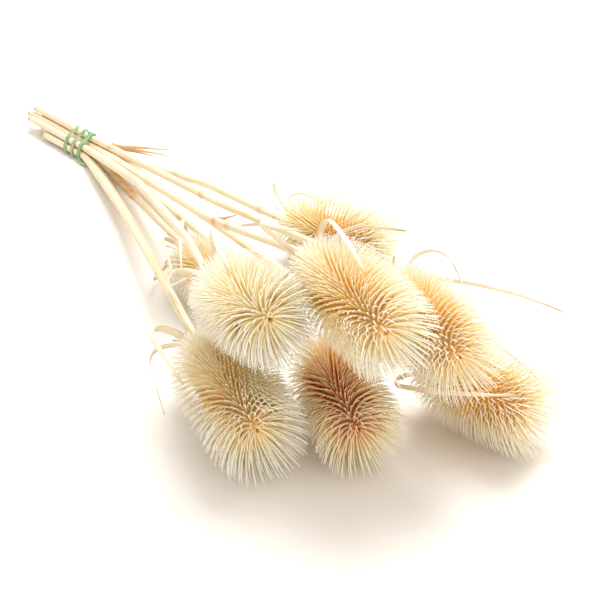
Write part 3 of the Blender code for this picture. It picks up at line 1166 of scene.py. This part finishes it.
    def build(self, finish: Material) -> None:
        """Build and dress the stem.

        Args:
            finish: The stems' material.
        """
        form = Form()
        path = self.path()
        whole = run_along(path)[-1]
        far = np.linspace(0.0, whole, int(whole / self.ring_step))
        line = even_path(path, far)
        ways = tangents(line)
        radii = self.radius(far, whole)
        marks = self.knot_marks(far, whole)
        turns = circle(self.sides)
        slope = (self.cut_slope * (1 + np.cos(turns - self.cut_turn)))[:, None]
        ripple = Ripple(self.plan.number)
        patchy, patches = self.patchy
        rings = []
        for k, (point, way) in enumerate(zip(line, ways)):
            rib = 1 + self.rib_depth * np.cos(self.ribs * turns)
            rib = rib + self.wobble * ripple.at(far[k] + self.wobble_round * np.cos(turns))
            points = point + spokes(*cross_axes(way), turns) * (radii[k] * rib)[:, None]
            grain = round_grain(far[k] + self.grain_apart * self.plan.number, turns, self.grain_reach)
            rings.append(form.add(points + way * slope if k == 0 else points, grain,
                                  mark=marks[k] * (patchy + patches * np.cos(turns * 3 + k)),
                                  along=self.cut_grey * math.exp(-far[k] / self.cut_fade)))
        side = spokes(*cross_axes(ways[0]), turns) * radii[0]
        inner = [form.add(line[0] + ways[0] * (deep + slope) + side * share, along=grey)
                 for share, deep, grey in self.pith]
        form.tube(inner[::-1] + rings)
        for shoot in self.plan.shoots:
            k = int(np.searchsorted(far, self.plan.knots[shoot.knot] * whole + self.shoot_rise))
            way = heading_vector(shoot.heading, shoot.pitch)
            sideways = unit(way - ways[k] * (way @ ways[k]))
            self.limb(form, line[k] + sideways * radii[k] * self.shoot_sunk, way, shoot)
        self.prickles(form, line, ways, far, radii)
        number = self.plan.number
        form.piece(f"teasel_stem_{number}", [finish], f"stem_{number}")


# Bracts


@dataclass
class Involucre(HeadPart):
    """The cup under a head with its long bracts and a ruff of short ones."""

    disc_radius: float = 5.5
    disc_sides: int = 12
    disc_thickness: float = 2.2
    part_gap: float = 0.35
    foot_sunk: float = 0.8
    start: float = -48.0
    turn_from: float = 4.0
    width: float = 2.5
    tip_width: float = 0.95
    taper: float = 1.6
    waves: Row = (31.0, 19.0, 9.0)
    edge: float = 0.06
    blunt: Span = (0.97, 0.45)
    thickness: float = 0.45
    channel: float = 0.3
    keel: float = 0.4
    rings: int = 46
    twist: float = 24.0
    grain_apart: float = 300.0
    ruff: int = 9
    ruff_width: float = 1.3
    ruff_length: float = 13.0
    ruff_luck: Span = (0.6, 1.1)
    ruff_leans: Span = (10.0, 50.0)
    ruff_turn: float = 9.0
    ruff_drift: float = 12.0
    ruff_uneven: float = 0.25
    cup_profile: tuple[Span, ...] = (
        (1.9, -4.4), (2.6, -3.4), (4.4, -2.7), (5.4, -1.6), (5.5, -0.7), (4.8, 0.3), (2.0, 0.6))
    cup_sides: int = 30
    cup_ribs: int = 10
    cup_rib_depth: float = 0.03
    cup_reach: float = 3.0
    cup_gold: float = 0.04

    def blade_path(self, blade: Blade) -> tuple[Points, Points]:
        """The middle line of a bract and its sideways directions.

        Args:
            blade: The bract's sizes.

        Returns:
            Points in order and a direction across the bract at each.
        """
        centre = self.base - self.axis * (self.part_gap + 0.5 * self.disc_thickness)
        out, along = self.disc_radius * math.cos(math.pi / self.disc_sides) - self.foot_sunk, 0.0
        points, sides = [], []
        steps = self.rings * 4
        for k in range(steps + 1):
            s = k * blade.length / steps
            share = min(max((s - self.turn_from) / blade.turn, 0.0), 1.0)
            lean = math.radians(self.start + (blade.lean - self.start) * share * share * (3 - 2 * share))
            angle = math.radians(blade.azimuth + blade.drift * k / steps)
            if k % 4 == 0:
                points.append(centre + self.side(angle) * out + self.axis * along)
                sides.append(self.side(angle + 0.5 * math.pi))
            out += math.cos(lean) * blade.length / steps
            along += math.sin(lean) * blade.length / steps
        return np.array(points), np.array(sides)

    def bract(self, form: Form, blade: Blade, seed: int, width: float) -> None:
        """Build one channelled bract that thins to its tip.

        Args:
            form: The involucre's points and faces.
            blade: The bract's sizes.
            seed: Picks its small unevenness.
            width: Its full width near the disc.
        """
        path, sides = self.blade_path(blade)
        ways = tangents(path)
        ripple = Ripple(seed, self.waves)
        rings = []
        for k, point in enumerate(path):
            t = k / (len(path) - 1)
            s = t * blade.length
            across = unit(sides[k] - ways[k] * (sides[k] @ ways[k]))
            over = np.cross(ways[k], across)
            twist = math.radians(self.twist * ripple.at(np.array(s)) * t)
            across, over = (across * math.cos(twist) + over * math.sin(twist),
                            over * math.cos(twist) - across * math.sin(twist))
            w = 0.5 * (width + (self.tip_width - width) * t ** self.taper)
            w *= 1 + self.edge * ripple.at(np.array(3 * s))
            w *= 1.0 if t < self.blunt[0] else self.blunt[1]
            h, d = (size * (1 - 0.5 * t) for size in (0.5 * self.thickness, self.channel))
            keel = self.keel * d
            section = ((-w, d - h), (0, -h - keel), (w, d - h), (w, d + h), (0, h - keel), (-w, d + h))
            points = [point + across * a + over * b for a, b in section]
            grain = [(s + self.grain_apart * seed, a, b) for a, b in section]
            rings.append(form.add(points, grain, along=t))
        form.tube(rings)

    def cup(self, form: Form) -> None:
        """Build the rounded cup that joins the stem and the core.

        Args:
            form: The involucre's points and faces.
        """
        turns = circle(self.cup_sides)
        ribbed = self.side(turns) * (1 + self.cup_rib_depth * np.cos(turns * self.cup_ribs))[:, None]
        form.tube([form.add(self.base + self.axis * far + ribbed * radius,
                            round_grain(far * 2, turns, self.cup_reach), along=self.cup_gold)
                   for radius, far in self.cup_profile])

    def build(self, finish: Material) -> None:
        """Build and dress the involucre.

        Args:
            finish: The bracts' material.
        """
        form = Form()
        self.cup(form)
        number = self.plan.number
        for k, blade in enumerate(self.plan.blades):
            self.bract(form, blade, number * 10 + k, self.width * blade.broad)
        chance = random.Random(RUFF_SEED + number)
        for k in range(self.ruff):
            azimuth = 360 * (k + chance.uniform(-self.ruff_uneven, self.ruff_uneven)) / self.ruff
            length = self.ruff_length * chance.uniform(*self.ruff_luck)
            lean = chance.uniform(*self.ruff_leans)
            drift = chance.uniform(-self.ruff_drift, self.ruff_drift)
            short = Blade(azimuth, length, lean, self.ruff_turn, drift)
            self.bract(form, short, number * 100 + k, self.ruff_width)
        form.piece(f"teasel_bracts_{number}", [finish], f"involucre_{number}")


# Tie


@dataclass
class Tie:
    """Flat green raffia wound tightly round the bundle, with a loose tail."""

    bundle: Bundle
    string_radius: float = 1.0
    clear: float = 0.35
    turns: float = 2.4
    pitch: float = 9.0
    cad_steps: int = 14
    steps: int = 56
    leaves: float = 195.0
    tail: tuple[Place, ...] = ((0.0, 0.0, 0.0), (-1.0, -1.6, 2.2), (-1.8, -2.4, 6.0), (-1.2, -2.5, 11.0))
    tail_at: Row = (0.0, 0.22, 0.58, 1.0)
    tail_from: float = 0.12
    tail_rings: int = 22
    half_width: float = 1.5
    wide: float = 3.3
    wide_before: float = 75.0
    wide_over: float = 0.75
    half_height: float = 0.34
    waves: Row = (23.0, 11.0, 5.0)
    edge: float = 0.14
    fluted: float = 0.2
    lengthwise: float = 0.7
    sides: int = 10

    def spot(self, angle: float) -> Points:
        """Where the taut raffia stands across the bundle towards an angle.

        Args:
            angle: The angle in radians.

        Returns:
            Its place, right and up.
        """
        way = np.array([math.cos(angle), math.sin(angle)])
        grid = np.array([1.0, self.bundle.row_rise]) * self.bundle.pitch
        spots = [np.array(plan.slot) * grid for plan in PLANS]
        far = self.bundle.stem_radius + self.clear + 0.5 * self.string_radius
        return max(spots, key=lambda spot: spot @ way) + way * far

    def path(self) -> tuple[Points, Points]:
        """The middle line and how wide the raffia is on it.

        Returns:
            Points in order and a share from 0, narrow, to 1, wide.
        """
        axis = heading_vector(self.bundle.heading)
        right, up = cross_axes(axis)
        base = np.array([*self.bundle.at, self.bundle.height])
        count = int(int(self.turns * self.cad_steps) * self.steps / self.cad_steps)
        points, wide = [], []
        for k in range(count + 1):
            back = 2 * math.pi * (k - count) / self.steps
            spot = self.spot(math.radians(self.leaves) + back)
            far = self.pitch * (k - 0.5 * count) / self.steps
            points.append(base + right * spot[0] + up * spot[1] + axis * far)
            wide.append(bump_at(back, math.radians(self.wide_before - self.leaves), self.wide_over))
        end = points[-1]
        for share in np.linspace(self.tail_from, 1.0, self.tail_rings):
            spot = [np.interp(share, self.tail_at, coordinates) for coordinates in zip(*self.tail)]
            points.append(end + right * spot[0] + up * spot[1] + axis * spot[2])
            wide.append(0.0)
        return np.array(points), np.array(wide)

    def build(self, finish: Material) -> None:
        """Build and dress the tie.

        Args:
            finish: The raffia's material.
        """
        form = Form()
        path, wide = self.path()
        axis = heading_vector(self.bundle.heading)
        ways, run = tangents(path), run_along(path)
        ripple = Ripple(TIE_SEED, self.waves)
        turns = circle(self.sides)
        rings = []
        across = axis
        for k, (point, way) in enumerate(zip(path, ways)):
            if abs(axis @ way) < self.lengthwise:
                across = axis
            across = unit(across - way * (across @ way))
            over = np.cross(way, across)
            w = self.half_width + (self.wide - self.half_width) * wide[k]
            w *= 1 + self.edge * ripple.at(run[k])
            h = self.half_height * (1 + self.fluted * np.cos(3 * turns + run[k] / 3))
            points = point + across * (np.cos(turns) * w)[:, None] + over * (np.sin(turns) * h)[:, None]
            grain = np.stack([np.full(self.sides, run[k]), np.cos(turns) * w, np.sin(turns)], axis=1)
            rings.append(form.add(points, grain, mark=wide[k]))
        form.tube(rings)
        form.piece("teasel_tie", [finish], "tie")


# Studio


@dataclass(frozen=True)
class Lamp:
    """A soft square lamp: its place and the length of its sides in metres, and its power in watts."""

    name: str
    at: Place
    size: float
    power: float
    colour: Colour


@dataclass
class Studio:
    """The table, the soft light and the camera at the photograph's angle."""

    camera_at: Place = (-0.293, -0.615, 0.3641)
    looks: Place = (0.433, 0.75, -0.5)
    sensor: float = 36.0
    lens: float = 75.0
    clip: Span = (0.01, 20.0)
    sky: float = 0.97
    sky_colour: Place = (1.0, 0.965, 0.915)
    lamps: tuple[Lamp, ...] = (
        Lamp("key", (0.66, 0.38, 1.3), 0.9, 29.0, (255, 254, 251)),
        Lamp("fill", (-0.45, -1.1, 0.2), 0.5, 2.2, (255, 222, 176)))
    table_size: float = 6.0

    def aim(self, thing: Thing, at: Place, way: Place) -> None:
        """Set a camera or a lamp in its place and turn it.

        Args:
            thing: The camera or lamp.
            at: Its place in metres.
            way: Where it faces.
        """
        thing.location = at
        thing.rotation_mode = "QUATERNION"
        thing.rotation_quaternion = Vector(way).to_track_quat("-Z", "Y")

    def camera(self) -> None:
        """Place the camera."""
        data = bpy.data.cameras.new("camera")
        data.sensor_width, data.lens = self.sensor, self.lens
        data.clip_start, data.clip_end = self.clip
        thing = put_in_scene("camera", data)
        self.aim(thing, self.camera_at, self.looks)
        bpy.context.scene.camera = thing

    def light(self) -> None:
        """Hang the lamps so that they face the bunch, and light the sky."""
        for lamp in self.lamps:
            data = bpy.data.lights.new(lamp.name, "AREA")
            data.size, data.energy, data.color = lamp.size, lamp.power, linear(lamp.colour)[:3]
            self.aim(put_in_scene(lamp.name, data), lamp.at, tuple(-c for c in lamp.at))
        world = bpy.data.worlds.new("studio")
        world.use_nodes = True
        sky = world.node_tree.nodes["Background"]
        sky.inputs["Color"].default_value = (*self.sky_colour, 1.0)
        sky.inputs["Strength"].default_value = self.sky
        bpy.context.scene.world = world

    def table(self) -> None:
        """Lay the table."""
        half = self.table_size / 2
        mesh = bpy.data.meshes.new("table")
        corners = [(-half, -half, 0), (half, -half, 0), (half, half, 0), (-half, half, 0)]
        mesh.from_pydata(corners, [], [(0, 1, 2, 3)])
        mesh.materials.append(TableFinish().make("table"))
        thing = put_in_scene("table", mesh)

    def build(self) -> None:
        """Set up the whole studio."""
        self.camera()
        self.table()
        self.light()
        bpy.context.scene.view_settings.view_transform = "Standard"


def main() -> None:
    """Build the studio and every piece of the bunch."""
    logging.basicConfig(level=logging.INFO, format="%(name)s: %(message)s")
    Studio().build()
    bundle = Bundle()
    stem_finish = StemFinish().make("bleached_stem")
    bract_finish = BractFinish().make("papery_bract")
    for plan in PLANS:
        Stem(plan, bundle).build(stem_finish)
        Involucre(plan).build(bract_finish)
        SeedHead(plan).build()
    Tie(bundle).build(TieFinish().make("green_raffia"))


if __name__ == "__main__":
    main()
